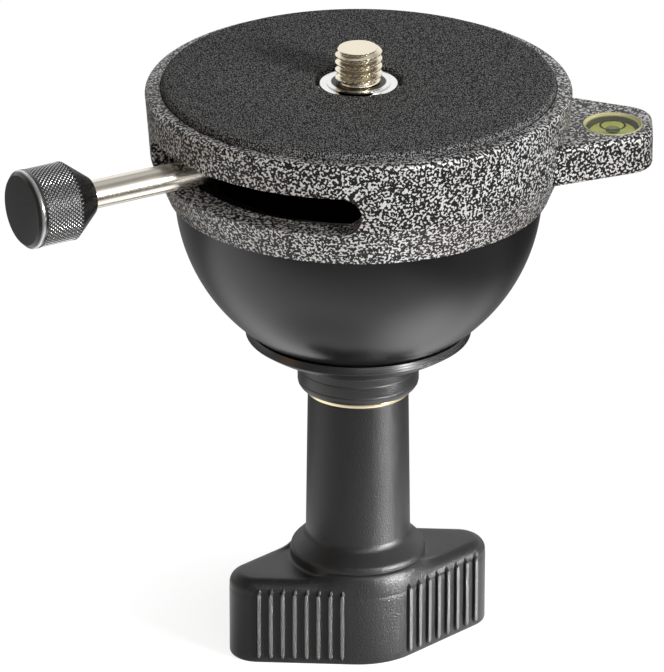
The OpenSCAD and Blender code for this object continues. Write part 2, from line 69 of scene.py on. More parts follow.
# %% [markdown]
# ## The camera
# The picture was taken from a little above with a long lens. The distance and the angle come from
# fitting the two circles whose sizes are standard, the stud's thread and the ball. The camera has
# no shift and looks straight at a point on the plane through the base's axis.

# %% Camera
PICTURE_H = 672                         # pixels
FOCAL_LENGTH = 7304                     # pixels
VIEW_DISTANCE = 1500
VIEW_RISE = math.radians(23.81)
VIEW_POINT = np.array([-5.39, 0.0, 68.05])

camera = bpy.data.objects.new("camera", bpy.data.cameras.new("camera"))
camera.data.sensor_fit = "VERTICAL"
camera.data.lens = FOCAL_LENGTH / PICTURE_H * camera.data.sensor_height
back_off = VIEW_DISTANCE * np.array([0.0, -math.cos(VIEW_RISE), math.sin(VIEW_RISE)])
camera.location = (VIEW_POINT + back_off) * MM
camera.rotation_euler = (math.pi / 2 - VIEW_RISE, 0.0, 0.0)
scene.collection.objects.link(camera)
scene.camera = camera
print("camera lens", round(camera.data.lens, 1), "mm at", [round(v, 3) for v in camera.location])

# %% [markdown]
# ## Shader sums as Python sums
# A finish is a tree of nodes, and drawing one by hand hides the sum that it does. This class wraps
# a node's output, so that `1 - mask` or `grain * 0.3` adds the Math node itself. Everything else
# comes from `make`, which sets a node's settings first and then its sockets.

# %% The socket class


class Wire:
    """A shader socket that can stand in a Python expression."""

    def __init__(self, tree, socket=None):
        self.tree = tree
        self.socket = socket

    def make(self, kind, settings=None, sockets=None, out=0):
        """Any node: settings first, then a value or a link for each socket."""
        node = self.tree.nodes.new(kind)
        for name, value in (settings or {}).items():
            setattr(node, name, value)
        for name, value in (sockets or {}).items():
            if isinstance(value, Wire):
                self.tree.links.new(value.socket, node.inputs[name])
            else:
                node.inputs[name].default_value = value
        return Wire(self.tree, node.outputs[out])

    def sum(self, operation, first, second=0.0):
        """A Math node on two values."""
        return self.make("ShaderNodeMath", {"operation": operation}, {0: first, 1: second})

    def __add__(self, other):
        return self.sum("ADD", self, other)

    def __sub__(self, other):
        return self.sum("SUBTRACT", self, other)

    def __rsub__(self, other):
        return self.sum("SUBTRACT", other, self)

    def __mul__(self, other):
        return self.sum("MULTIPLY", self, other)

    __radd__ = __add__
    __rmul__ = __mul__

    def vector(self, operation, other, out=0):
        """A Vector Math node on this place and a fixed vector."""
        return self.make("ShaderNodeVectorMath", {"operation": operation}, {0: self, 1: other}, out)

    def step(self, low, high):
        """0 below low, 1 above high and a smooth rise between."""
        return self.make("ShaderNodeMapRange", {"interpolation_type": "SMOOTHSTEP"},
                         {"Value": self, "From Min": low, "From Max": high})

    def rise(self, low, high):
        """A step between two lengths in millimetres."""
        return self.step(low * MM, high * MM)

    def noise(self, size, detail=2.0, stretch=(1.0, 1.0, 1.0)):
        """Noise whose blobs are about size millimetres, read at this place."""
        spread = self.vector("MULTIPLY", tuple(s / (size * MM) for s in stretch))
        return self.make("ShaderNodeTexNoise", None,
                         {"Vector": spread, "Scale": 1.0, "Detail": detail})

    def part(self, axis):
        """One part of a place or a direction: X, Y or Z."""
        return self.make("ShaderNodeSeparateXYZ", None, {0: self}, out=axis)

    def reach(self):
        """How far a place is from the upright axis, in metres."""
        return self.vector("MULTIPLY", (1, 1, 0)).vector("LENGTH", (0, 0, 0), out="Value")

    def away(self, point):
        """How far a place is, in metres, from a point given in millimetres."""
        return self.vector("DISTANCE", tuple(v * MM for v in point), out="Value")

    def stored(self, name):
        """A value that the mesh keeps for each of its points."""
        return self.make("ShaderNodeAttribute", {"attribute_name": name}, out="Fac")

    def blend(self, low, high):
        """A colour between two colours, with this value as the share of the second."""
        return self.make("ShaderNodeMix", {"data_type": "RGBA"}, {0: self, 6: low, 7: high}, out=2)

    def bump(self, depth, strength=1.0):
        """A normal that follows this height, which is 0 to 1 for depth millimetres."""
        return self.make("ShaderNodeBump", None,
                         {"Height": self, "Distance": depth * MM, "Strength": strength})


def start_finish(name, constants):
    """A new material: gives it, its shader and the place that its patterns read."""
    material = bpy.data.materials.new(name)
    material.use_nodes = True
    shader = material.node_tree.nodes["Principled BSDF"]
    for socket, value in constants.items():
        shader.inputs[socket].default_value = value
    place = Wire(material.node_tree).make("ShaderNodeTexCoord", out="Object")
    return material, shader, place


def feed(shader, **wires):
    """Links wires to the shader's sockets, named with _ for a space."""
    for socket, wire in wires.items():
        wire.tree.links.new(wire.socket, shader.inputs[socket.replace("_", " ")])


def grey(value, warmth=0.0):
    """A grey in linear light, a little warmer or, below zero, a little cooler."""
    return (value * (1 + warmth), value, value * (1 - warmth), 1.0)


print("shader helpers ready")

# %% [markdown]
# ## Hammertone paint
# Hammertone is a silver-loaded paint that pulls into small pools as it dries, so black worms run
# between bright islands half a millimetre wide. A photographic texture would be quick, but noise
# cut at its middle gives the same islands without a seam, on every side of the casting.

# %% Hammertone
FLECK = 0.52
ISLAND_EDGE = (0.525, 0.555)            # noise values between which black turns into silver
hammertone, shader, place = start_finish("hammertone", {"Specular IOR Level": 0.35})
flecks = place.noise(FLECK, detail=1.0)
islands = flecks.step(*ISLAND_EDGE)
patches = place.noise(14.0).step(0.35, 0.7)
silver = patches.blend(grey(0.76, 0.04), grey(0.94))
feed(shader, Base_Color=islands.blend(grey(0.005, 0.05), silver),
     Metallic=islands * 0.20, Roughness=0.42 - islands * 0.10,
     Normal=flecks.bump(0.25, 0.8))
print("hammertone islands of", FLECK, "mm")

# %% [markdown]
# ## Black finishes
# Five parts are black and no two look alike: the handle has a fine spark-eroded grain, the ball
# satin paint, the dish turning marks under anodising, the knob a bright-edged knurl and the pad
# dull rubber. The first four share a nearly black colour and differ in roughness and bump. The
# handle and the knob also keep a value called wear, where hands have rubbed them pale. The pad is
# black only between its dimples, which are dry and grey.

# %% Moulded plastic
GRAIN = 0.30
plastic, shader, place = start_finish("moulded_plastic", {"Specular IOR Level": 0.38})
grain = place.noise(GRAIN, detail=3.0)
rubbed = place.stored("wear").step(0.5, 0.95)
black = place.noise(9.0).blend(grey(0.008), grey(0.013))
feed(shader, Base_Color=rubbed.blend(black, grey(0.10)),
     Roughness=0.27 + grain * 0.12, Normal=grain.bump(0.085))
print("moulded grain of", GRAIN, "mm")

# %% Satin black paint
MIST = 0.5
satin, shader, place = start_finish("black_ball", {"Specular IOR Level": 0.5})
mist = place.noise(MIST, detail=3.0)
feed(shader, Base_Color=place.noise(12.0).blend(grey(0.008), grey(0.013, -0.04)),
     Roughness=0.20 + mist * 0.08, Normal=mist.bump(0.012, 0.5))
print("satin paint with a mist of", MIST, "mm")

# %% Turned and anodised
TOOL_FEED = 0.28
anodised, shader, place = start_finish("black_anodised", {"Specular IOR Level": 0.6})
along_cut = (place.reach() + place.part("Z")) * (2 * math.pi / (TOOL_FEED * MM))
marks = along_cut.sum("SINE", along_cut) * 0.5 + 0.5
feed(shader, Base_Color=place.noise(7.0).blend(grey(0.009), grey(0.016)),
     Roughness=0.26 + marks * 0.10, Normal=marks.bump(0.012, 0.6))
print("turning marks every", TOOL_FEED, "mm")

# %% Knurled black
DUST = 0.6
knurled, shader, place = start_finish("knurled_black", {"Specular IOR Level": 0.6})
dust = place.noise(DUST, detail=3.0)
bare = place.stored("wear").step(0.30, 0.62)
dusty = dust.step(0.55, 0.75).blend(grey(0.010, 0.05), grey(0.030, 0.10))
feed(shader, Base_Color=bare.blend(dusty, grey(0.75)), Metallic=bare * 0.9,
     Roughness=0.14 + dust * 0.12, Normal=dust.bump(0.02, 0.4))
print("knurl finish with dust of", DUST, "mm")

# %% Pad rubber
DIMPLE, SPECK = 0.27, 0.35
rubber, shader, place = start_finish("pad_rubber", {"Specular IOR Level": 0.12})
dimples = place.noise(DIMPLE, detail=1.0, stretch=(1.2, 0.6, 1.0))
specks = place.noise(SPECK, detail=0.0).step(0.78, 0.82)
dull = dimples.step(0.49, 0.62).blend(grey(0.012), grey(0.40))
feed(shader, Base_Color=specks.blend(dull, grey(0.40)),
     Roughness=0.65 + dimples * 0.2, Normal=dimples.bump(0.08, 0.8))
print("rubber dimples of", DIMPLE, "mm")

# %% [markdown]
# ## Metals
# The stud and the lever are nickel plated, which is warmer than chrome. The ring and the washer
# around the stud are bright steel, the thin washer under the dish is brass. Plated parts are never
# quite even, so a slow noise moves the roughness and a fast one leaves faint scratches. The hub
# under the stud is bright too, apart from a ring of painted shade round the stud's foot.

# %% Metals


def metal(name, colour, rough, scratch=0.03):
    """A plated metal: its colour and roughness vary in clouds, and it has fine scratches."""
    material, shader, place = start_finish(name, {"Metallic": 1.0})
    clouds = place.noise(5.0)
    lines = place.noise(0.3, stretch=(1.0, 1.0, 0.2))
    darker = tuple(0.9 * c for c in colour[:3]) + (1.0,)
    feed(shader, Base_Color=clouds.blend(darker, colour),
         Roughness=rough + clouds * 0.08, Normal=lines.bump(scratch, 0.3))
    return material


nickel = metal("nickel", (0.94, 0.88, 0.77, 1.0), 0.18, scratch=0.004)
bright_steel = metal("bright_steel", (0.94, 0.94, 0.92, 1.0), 0.16)
plain_steel = metal("plain_steel", (0.60, 0.60, 0.60, 1.0), 0.32, scratch=0.06)
brass = metal("brass", (0.95, 0.81, 0.55, 1.0), 0.20)
cut_nickel = metal("cut_nickel", (0.95, 0.86, 0.68, 1.0), 0.20, scratch=0.004)

SHADE_RING_R, SHADE_RING_EDGE = 5.6, 0.15             # the ring of painted shade around the stud's foot, and its soft edge
hub_steel, shader, place = start_finish("hub_steel", {"Metallic": 1.0})
# painted shade: the hub's top is dark inside this ring round the stud's foot and bright outside it
unshaded = place.reach().rise(SHADE_RING_R - SHADE_RING_EDGE, SHADE_RING_R + SHADE_RING_EDGE)
feed(shader, Base_Color=unshaded.blend(grey(0.02, 0.1), grey(0.92)),
     Roughness=0.22 + place.noise(2.0) * 0.12)
print("six metals")

# %% [markdown]
# ## The level's own materials
# The vial is clear acrylic with a yellow-green liquid. So only the window is clear. The liquid is
# an opaque yellow-green, and the cup's wall is painted with the light that the bounces would leave
# on it: painted shade in dark olive below and a painted pale yellow reflection along its rim.

# %% Level materials
PROUD = 0.7                             # how far the solid window stands above the ear
SHADE_DEPTH = (0.75, 0.35)              # below the ear, where dark turns into pale
rim_z = span("level_window")[1][2] - PROUD

acrylic, shader, place = start_finish("clear_acrylic", {
    "Base Color": (1.0, 1.0, 0.96, 1.0), "Transmission Weight": 1.0, "IOR": 1.08})
feed(shader, Roughness=place.noise(3.0) * 0.02)

cup_wall, shader, place = start_finish("level_cup", {"Specular IOR Level": 0.15})
# painted light: dark olive painted shade low in the cup, turning into a pale painted reflection at its rim
painted_light_share = place.part("Z").rise(*[rim_z - depth for depth in SHADE_DEPTH])
painted_shade_olive = place.noise(3.0).blend((0.05, 0.05, 0.012, 1.0), (0.10, 0.10, 0.03, 1.0))
feed(shader, Base_Color=painted_light_share.blend(painted_shade_olive, (0.80, 0.76, 0.40, 1.0)),
     Roughness=0.18 + place.noise(2.0) * 0.1)


def clouded(name, gloss, low, high, cloud, rough, patch):
    """A colour clouded between two, and a roughness that rises by up to a tenth in patches."""
    material, shader, place = start_finish(name, {"Specular IOR Level": gloss})
    feed(shader, Base_Color=place.noise(cloud).blend(low, high),
         Roughness=rough + place.noise(patch) * 0.1)
    return material


liquid = clouded("level_liquid", 0.3, (0.66, 0.72, 0.10, 1.0), (0.86, 0.88, 0.22, 1.0), 4.0, 0.25, 2.0)
# painted shade: the air bubble is a disc painted dark olive, for the darkness that light bent at its edge shows
bubble_shade_disc = clouded("level_bubble", 0.15, (0.10, 0.13, 0.02, 1.0), (0.18, 0.22, 0.04, 1.0), 1.0, 0.2, 1.0)
ring_ink = clouded("ring_ink", 0.1, grey(0.003), grey(0.007), 1.0, 0.6, 1.0)
nylon = clouded("white_nylon", 0.4, grey(0.70, 0.05), grey(0.80, 0.04), 3.0, 0.45, 0.8)
print("acrylic, cup wall, liquid, bubble, ink and nylon")

# %% [markdown]
# ## Surfaces from grids
# Most parts here are turned, so a profile of radius and height goes round an axis. The sharp
# corners of a drawing don't exist on a real part, so `rounded` swaps each corner for an arc before
# the profile is turned. A grid whose first row lies on the axis closes there by itself when its
# doubles are merged.

# %% Profiles


def rounded(corners, radii, steps=5, closed=False):
    """A row of corners with an arc in each: it touches both sides at r / tan(half the angle)."""
    corners = np.array(corners, float)
    row = []
    for i, (corner, radius) in enumerate(zip(corners, radii)):
        ends = not closed and i in (0, len(corners) - 1)
        if ends or radius == 0:
            row.append(corner[None])
            continue
        back = corners[i - 1] - corner
        on = corners[(i + 1) % len(corners)] - corner
        back, on = back / np.linalg.norm(back), on / np.linalg.norm(on)
        half = math.acos(np.clip(back @ on, -1, 1)) / 2
        middle = corner + (back + on) / np.linalg.norm(back + on) * radius / math.sin(half)
        start, end = [corner + side * radius / math.tan(half) - middle for side in (back, on)]
        sweep = math.pi - 2 * half
        share = np.linspace(0, 1, steps + 1)[:, None]
        bow = np.sin((1 - share) * sweep) * start + np.sin(share * sweep) * end
        row.append(middle + bow / math.sin(sweep))
    return np.concatenate(row)


def disc(radius, foot, top, foot_edge, top_edge, steps=5):
    """The profile of a full disc or rod between two heights, with both edges rounded."""
    corners = [(0, foot), (radius, foot), (radius, top), (0, top)]
    return rounded(corners, [0, foot_edge, top_edge, 0], steps)


def band(inner, outer, foot, top, radii, steps=5):
    """The closed profile of a flat ring, with a rounding for each of its four corners."""
    corners = [(inner, foot), (outer, foot), (outer, top), (inner, top)]
    return rounded(corners, radii, steps, closed=True)


def arc(radius, height, start, end, count):
    """Profile points on a circle about (0, height), at angles above the horizontal in radians."""
    angle = np.linspace(start, end, count)
    return np.stack([radius * np.cos(angle), height + radius * np.sin(angle)], -1)


print("profile helpers ready")

# %% Grids and pieces
SEAM = 1e-7                             # metres, points closer than this are one
FINE, MEDIUM, COARSE = 200, 160, 96     # points round a part
SHARP = 40                              # degrees, an edge that turns by more stays sharp


def turned(profile, count=MEDIUM, centre=(0.0, 0.0)):
    """A profile of (radius, height) carried round the upright axis through centre."""
    angle = np.linspace(0, 2 * math.pi, count, endpoint=False)
    radius, height = profile[:, :1], profile[:, 1:]
    return np.stack([centre[0] + radius * np.cos(angle), centre[1] + radius * np.sin(angle),
                     height + 0 * angle], -1)


def sheet(points, loop=False):
    """A grid's points and quads: the columns always close, the rows where loop is set."""
    rows, columns = points.shape[:2]
    index = np.arange(rows * columns).reshape(rows, columns)
    index = np.hstack([index, index[:, :1]])
    if loop:
        index = np.vstack([index, index[:1]])
    quads = np.stack([index[:-1, :-1], index[:-1, 1:], index[1:, 1:], index[1:, :-1]], -1)
    return points.reshape(-1, 3), quads.reshape(-1, 4)


def dress(name, mesh, finish, body, slot, *nodes, crease=SHARP):
    """An object at the origin for a finished mesh, riding on its body in place of its nodes."""
    mesh.shade_smooth()
    mesh.set_sharp_from_angle(angle=math.radians(crease))
    mesh.materials.clear()
    mesh.materials.append(finish)
    piece = bpy.data.objects.new(name, mesh)
    scene.collection.objects.link(piece)
    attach(piece, body)
    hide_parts(*nodes)
    print(name, "has", len(mesh.polygons), "faces")
    return piece


def add_piece(name, surface, finish, body, slot, *nodes, crease=SHARP, wear=None):
    """A mesh from a sheet: doubles merged, faces outward, smooth except at a crease in degrees."""
    points, quads = surface
    mesh = bpy.data.meshes.new(name)
    mesh.from_pydata(points * MM, [], quads.tolist())
    if wear is not None:
        mesh.attributes.new("wear", "FLOAT", "POINT").data.foreach_set("value", wear.ravel())
    shell = bmesh.new()
    shell.from_mesh(mesh)
    bmesh.ops.remove_doubles(shell, verts=shell.verts, dist=SEAM)
    bmesh.ops.recalc_face_normals(shell, faces=shell.faces)
    shell.to_mesh(mesh)
    shell.free()
    return dress(name, mesh, finish, body, slot, *nodes, crease=crease)


print("grid helpers ready")

# %% [markdown]
# ## The handle
# The handle is one moulding: a wing knob that fingers can turn, a collar and a column. Seen from
# above, the knob's outline is three circles joined by tangents, so each outline point is a centre,
# a radius and a direction. Taking a little off the radius gives every smaller outline, which is
# how the rounded top and foot are made. The ribs are added to the radius on the four flats.

# %% Handle outline
WING_H = 18.6
HUB_R = 15.2
WING_REACH = 22.15                      # from the axis to the middle of a wing's tip
TIP_R = 6.0
WING_TURN = math.radians(21)
HUB_POINTS, TIP_POINTS = 26, 14
RIB_COUNT = 8
RIB_W = 1.0
RIB_CREST, CREST_BREAK = 0.38, 0.1      # half the crest's width, and how much of it slopes
RIB_CLEAR = 0.54 * RIB_W                # from a rib's middle to where the flat is plain again
LEFT, RIGHT = 0, 1                      # the flats beside the hub, as seen when facing it
RIB_PITCH = (2.47, 2.81)
RIB_SHIFT = (0.88, -0.7)                # towards the tip
HUB_RUN = (0.0, 1.7)                    # how far the ribs run on round the hub
FLAT_MARGIN = 0.3                       # from a flat's end to its first and last row

lean = math.asin((HUB_R - TIP_R) / WING_REACH)
flat_l = WING_REACH * math.cos(lean)
quarter = math.pi / 2 - lean


def wing_arc(centre, radius, start, end, count):
    """Outline rows of one arc: centre x, radius, direction, and far from any rib."""
    row = np.ones(count)
    return np.stack([centre * row, radius * row, np.linspace(start, end, count), WING_H * row], -1)


def wing_flat(side, hand):
    """Outline rows of one flat, from the hub out: dense where a rib rises, with the distance to
    the nearest rib. Before the flat begins, a row swings round the hub instead."""
    first = flat_l / 2 + RIB_SHIFT[hand] - RIB_PITCH[hand] * (RIB_COUNT - 1) / 2
    ribs = first + RIB_PITCH[hand] * np.arange(RIB_COUNT)
    across = np.array([0, RIB_CREST - CREST_BREAK, RIB_CREST, RIB_W / 2, RIB_CLEAR])
    across = np.concatenate([-across[:0:-1], across])
    ends = FLAT_MARGIN - HUB_RUN[hand], flat_l - FLAT_MARGIN
    place = np.concatenate([ends, (ribs[:, None] + across).ravel()])
    place = np.unique(np.clip(place, *ends))
    share = np.maximum(place, 0) / flat_l
    swing = np.maximum(-place, 0) / HUB_R
    direction = math.pi / 2 - side * (lean - swing)
    nearest = np.abs(place[:, None] - ribs).min(1)
    return np.stack([side * WING_REACH * share, HUB_R + (TIP_R - HUB_R) * share,
                     direction, nearest], -1)


one_half = np.concatenate([
    wing_arc(WING_REACH, TIP_R, 0, quarter, TIP_POINTS),
    wing_flat(1, LEFT)[::-1],
    wing_arc(0, HUB_R, quarter, math.pi - quarter - HUB_RUN[RIGHT] / HUB_R, HUB_POINTS),
    wing_flat(-1, RIGHT),
    wing_arc(-WING_REACH, TIP_R, math.pi - quarter, math.pi, TIP_POINTS)[:-1]])
other_half = one_half * [-1, 1, 1, 1] + [0, 0, math.pi, 0]
centre_x, radius, direction, rib_gap = np.concatenate([one_half, other_half]).T
print("handle outline of", len(radius), "points, flats lean", round(math.degrees(lean), 1))

# %% [markdown]
# The rows run from the middle of the foot, out and up the wall, over the rounded top, in to the
# collar and up the column. A faint step in the wall is the mould's parting line. Each rib has a
# flat crest, steep flanks and sloping ends, and its height is kept as wear, because fingers rub
# the crests pale.

# %% Handle foot and wall
TOP_ROUND, FOOT_ROUND = 2.6, 0.8
PART_LINE, PART_STEP, PART_HALF = 15.2, 0.03, 0.05     # height, depth and half the width
RIB_PROUD = 0.8
RIB_FOOT, RIB_TOP = 1.3, 1.9            # from the foot and from the top of the wing to a rib's ends
RIB_END = 0.4                           # how steep a rib's end is, with its flank as 1
CREST_SHARE = 0.94                      # height at the crest's edge
END_SHARES = np.array([-0.05, 0, 0.08, 0.16, 0.24, 0.32, 0.44, 0.6, 1])    # rows along a rib's end
MIDDLE_LEVELS = np.linspace(3, 14, 9)   # rows between the ends
wall_top = WING_H - TOP_ROUND
end_l = RIB_W / 2 / RIB_END


def wing_row(inset, height, ribs=0.0):
    """One outline, smaller by inset: centre + (radius - inset + ribs) along its direction."""
    out = radius - inset + ribs
    return np.stack([centre_x + out * np.cos(direction), out * np.sin(direction),
                     height + 0 * out], -1)


def rib_height(height):
    """How far the ribs stand out at a height, from the distance to a rib's flat middle."""
    lowest, highest = RIB_FOOT + end_l, WING_H - RIB_TOP - end_l
    beyond = RIB_END * max(lowest - height, height - highest, 0.0)
    off_middle = np.hypot(rib_gap, beyond)
    return RIB_PROUD * np.interp(off_middle, [RIB_CREST - CREST_BREAK, RIB_CREST, RIB_W / 2],
                                 [1.0, CREST_SHARE, 0.0])


foot_rows = [wing_row(FOOT_ROUND, 0) * [k, k, 1] for k in (0, 0.5)]
foot_rows += [wing_row(FOOT_ROUND * (1 - math.sin(t)), FOOT_ROUND * (1 - math.cos(t)))
              for t in np.linspace(0, math.pi / 2, 6)]
levels = np.concatenate([RIB_FOOT + END_SHARES * end_l, MIDDLE_LEVELS,
                         WING_H - RIB_TOP - END_SHARES * end_l,
                         [PART_LINE - PART_HALF, PART_LINE + PART_HALF, wall_top]])
levels = np.unique(np.round(levels[levels <= wall_top], 3))
wall_rows = [wing_row(PART_STEP * (level > PART_LINE), level, rib_height(level)) for level in levels]
print("handle foot and wall of", len(foot_rows) + len(wall_rows), "rows")

# %% [markdown]
# Along the wings the top is flat before the collar rises. In front and behind, the hub is nearly as
# small as the collar, so there the wall leans straight over into it along a curve with three
# control points. Between the two the rows are blended, by the room that is left outside the collar.

# %% Handle shoulder and column
COLLAR_R, COLLAR_Z, COLLAR_FOOT, COLLAR_TOP = 14.0, 20.2, 0.6, 21.3
FLAT_FROM, FLAT_OVER = 1.5, 3.5         # room where the flat top begins, and how much more fills it
LEAST_ROOM = 0.3
BEND_OUT, BEND_Z = 1.05, 19.8           # middle control point of the leaning wall
COLUMN_FOOT_R, COLUMN_FOOT_Z, COLUMN_TOP_R = 10.85, 24.45, 10.4
BOLT_PASS, BORE_FLOOR = 5.3, 36.0       # the hole that the bolt goes through
column_top = span("handle_body")[1][2]
plan = wing_row(0, 0)
polar = np.arctan2(plan[:, 1], plan[:, 0])
room = np.hypot(plan[:, 0], plan[:, 1]) - COLLAR_R
flat_share = np.clip((room - FLAT_FROM) / FLAT_OVER, 0, 1)[:, None]
flat_share = flat_share ** 2 * (3 - 2 * flat_share)


def ring_row(reach, height):
    """One circle about the axis, with its points where the outline's points are seen from it."""
    return np.stack([reach * np.cos(polar), reach * np.sin(polar), height + 0 * polar], -1)


over = []
for t in np.linspace(0, math.pi / 2, 11)[1:]:
    level = wall_top + TOP_ROUND * math.sin(t)
    curl = np.minimum(TOP_ROUND, np.maximum(room, LEAST_ROOM)) * (1 - math.cos(t))
    over.append(wing_row(PART_STEP + curl, level, rib_height(level)))
brim, collar_edge = over[-1], ring_row(COLLAR_R + COLLAR_FOOT, WING_H)
over += [brim + (collar_edge - brim) * k for k in (0.4, 0.8)]
over += [ring_row(COLLAR_R + COLLAR_FOOT * (1 - math.sin(t)),
                  WING_H + COLLAR_FOOT * (1 - math.cos(t)))
         for t in np.linspace(0, math.pi / 2, 5)]

leaning = []
wall_end, bend = wing_row(PART_STEP, wall_top), ring_row(COLLAR_R + BEND_OUT, BEND_Z)
collar_wall = ring_row(COLLAR_R, COLLAR_Z)
for k in np.linspace(0, 1, len(over) + 1)[1:]:
    row = (1 - k) ** 2 * wall_end + 2 * k * (1 - k) * bend + k ** 2 * collar_wall
    leaning.append(row + wing_row(0, 0, rib_height(row[0, 2])) - plan)
shoulder = [b + (a - b) * flat_share for a, b in zip(over, leaning)]

profile = rounded([(COLLAR_R, COLLAR_Z), (COLLAR_R, COLLAR_TOP), (COLUMN_FOOT_R, COLUMN_FOOT_Z),
                   (COLUMN_TOP_R, column_top), (BOLT_PASS, column_top), (BOLT_PASS, BORE_FLOOR),
                   (0.0, BORE_FLOOR)], [0, 1.7, 2.6, 0.5, 0, 0, 0], steps=10)
column = [ring_row(reach, height) for reach, height in profile[1:]]
x, y, z = np.moveaxis(np.array(foot_rows + wall_rows + shoulder + column), -1, 0)
handle = np.stack([x * math.cos(WING_TURN) - y * math.sin(WING_TURN),
                   x * math.sin(WING_TURN) + y * math.cos(WING_TURN), z], -1)
polish = np.zeros(handle.shape[:2])
polish[len(foot_rows):len(foot_rows) + len(wall_rows)] = [rib_height(h) / RIB_PROUD for h in levels]
add_piece("handle", sheet(handle), plastic, "handle", "moulded_plastic", "handle_body", wear=polish)

# %% [markdown]
# ## The thin washer and the dish
# The washer is a plain brass ring with broken edges. The dish was turned from bar: a short hub, a
# bowl that follows the ball, and a narrow lip that tapers towards it, so that light catches it at
# one side. Two fine grooves on the hub are the marks of the tool that cut it. Both are one closed
# profile, so the inside is as finished as the outside.

# %% Thin washer
low, high = span("brass_washer")
profile = band(BOLT_PASS, high[0], low[2], high[2], [0.05, 0.22, 0.22, 0.05])
add_piece("washer", sheet(turned(profile), loop=True), brass, "clamp", "brass", "brass_washer")

# %% Dish
BALL_R = 37.5
DISH_GAP, DISH_T = 0.3, 1.6
DISH_HUB_R, HUB_ROUND = 12.5, 1.6
GROOVE_HALF, GROOVE_HEIGHTS = 0.2, (2.0, 4.5)
FILLET_DOWN, FILLET_OUT, FILLET_UP = 0.5, 0.35, 0.1
UNDER_FROM, UNDER_TO = 1.1, 0.35        # from the hub and from the rim to the bowl's underside
INSIDE_FROM, INSIDE_TO = 0.75, 0.2      # from the rim and from the bore to the bowl's inside
LIP_RISE, LIP_TAPER, LIP_DROP = 0.25, 0.58, 0.05
low, high = span("clamp_dish")
dish_foot, lip_z, rim_r = low[2], high[2], high[0]
mounts = {mount["name"]: mount for mount in frame["record"]["mounts"]}
ball_z = mounts["bowl_seat"]["pos_m"][2] / MM
bowl_in, bowl_out = BALL_R + DISH_GAP, BALL_R + DISH_GAP + DISH_T


def on_ball(radius, reach):
    """Angle below the horizontal at which a circle of this radius is reach from the axis."""
    return -math.acos(reach / radius)


grooves = []
for height in GROOVE_HEIGHTS:
    cut_z = dish_foot + height
    grooves += [(DISH_HUB_R, cut_z - GROOVE_HALF), (DISH_HUB_R - GROOVE_HALF / 2, cut_z),
                (DISH_HUB_R, cut_z + GROOVE_HALF)]
neck_z = ball_z - math.sqrt(bowl_out ** 2 - DISH_HUB_R ** 2)
hub = rounded([(BOLT_PASS, dish_foot), (DISH_HUB_R, dish_foot), *grooves,
               (DISH_HUB_R, neck_z - FILLET_DOWN), (DISH_HUB_R + FILLET_OUT, neck_z + FILLET_UP)],
              [0, HUB_ROUND] + [0.05, 0.08, 0.05] * len(GROOVE_HEIGHTS) + [0.3, 0], steps=4)
under = arc(bowl_out, ball_z, on_ball(bowl_out, DISH_HUB_R + UNDER_FROM),
            on_ball(bowl_out, rim_r - UNDER_TO), 26)
inside = arc(bowl_in, ball_z, on_ball(bowl_in, rim_r - INSIDE_FROM),
             on_ball(bowl_in, BOLT_PASS + INSIDE_TO), 36)
lip = rounded([under[-1], (rim_r, under[-1, 1] + LIP_RISE), (rim_r - LIP_TAPER, lip_z - LIP_DROP),
               inside[0]], [0, 0.2, 0.08, 0], steps=6)
profile = np.concatenate([hub, under, lip[1:-1], inside])
add_piece("dish", sheet(turned(profile, FINE), loop=True), anodised, "clamp", "black_anodised",
          "clamp_dish", crease=50)

# %% [markdown]
# ## The half ball
# The ball is a cast shell with a spigot that goes up into the head. Its outside is a plain sphere,
# so the profile starts with an arc. The arc ends a little below the ball's middle, where the spigot
# begins. From the spigot's top the profile goes down the inside of the shell to the boss that holds
# the bolt.

# %% Half ball
BALL_EDGE = 0.5                         # from the ball's middle down to the spigot
SPIGOT_R, BALL_WALL = 35.85, 5.0
MOUTH_R = 31.0                          # inside of the shell at its top
BOSS_R, BOSS_TOP, BOLT_HOLE = 13.0, 73.7, 5.15
spigot_top = span("half_ball")[1][2]
shell_r, edge_r = BALL_R - BALL_WALL, math.sqrt(BALL_R ** 2 - BALL_EDGE ** 2)
outside = arc(BALL_R, ball_z, on_ball(BALL_R, BOLT_HOLE), on_ball(BALL_R, edge_r), 70)
within = arc(shell_r, ball_z, on_ball(shell_r, MOUTH_R), on_ball(shell_r, BOSS_R), 24)
spigot = rounded([outside[-1], (SPIGOT_R, ball_z - BALL_EDGE), (SPIGOT_R, spigot_top),
                  (MOUTH_R, spigot_top), within[0]], [0, 0.2, 0.4, 0.4, 0], steps=4)
boss = [(BOSS_R, BOSS_TOP), (BOLT_HOLE, BOSS_TOP)]
profile = np.concatenate([outside, spigot[1:-1], within, boss])
add_piece("ball", sheet(turned(profile, FINE), loop=True), satin, "head", "black_ball", "half_ball",
          crease=50)

# %% [markdown]
# ## The pad
# A flat ring of hard rubber lies in the head's recess. Its upper edge is rounded, as a moulded
# edge is. The dimples on it are too fine to model and stay in the material.

# %% Rubber pad
PAD_HOLE = 9.0
low, high = span("rubber_pad")
pad_top = high[2]
profile = band(PAD_HOLE, high[0], low[2], pad_top, [0.05, 0.2, 0.9, 0.35], steps=8)
add_piece("pad", sheet(turned(profile, FINE), loop=True), rubber, "head", "pad_rubber", "rubber_pad")

# %% [markdown]
# ## The stud
# The stud carries a real thread, so a ring copied up the shaft would look wrong from close by. A
# thread is one radius for each share of a turn: at height z and angle a the share is z / pitch
# minus a / 360 degrees, which makes it right-handed. The point is cut to a cone by taking the
# smaller of the two radii.

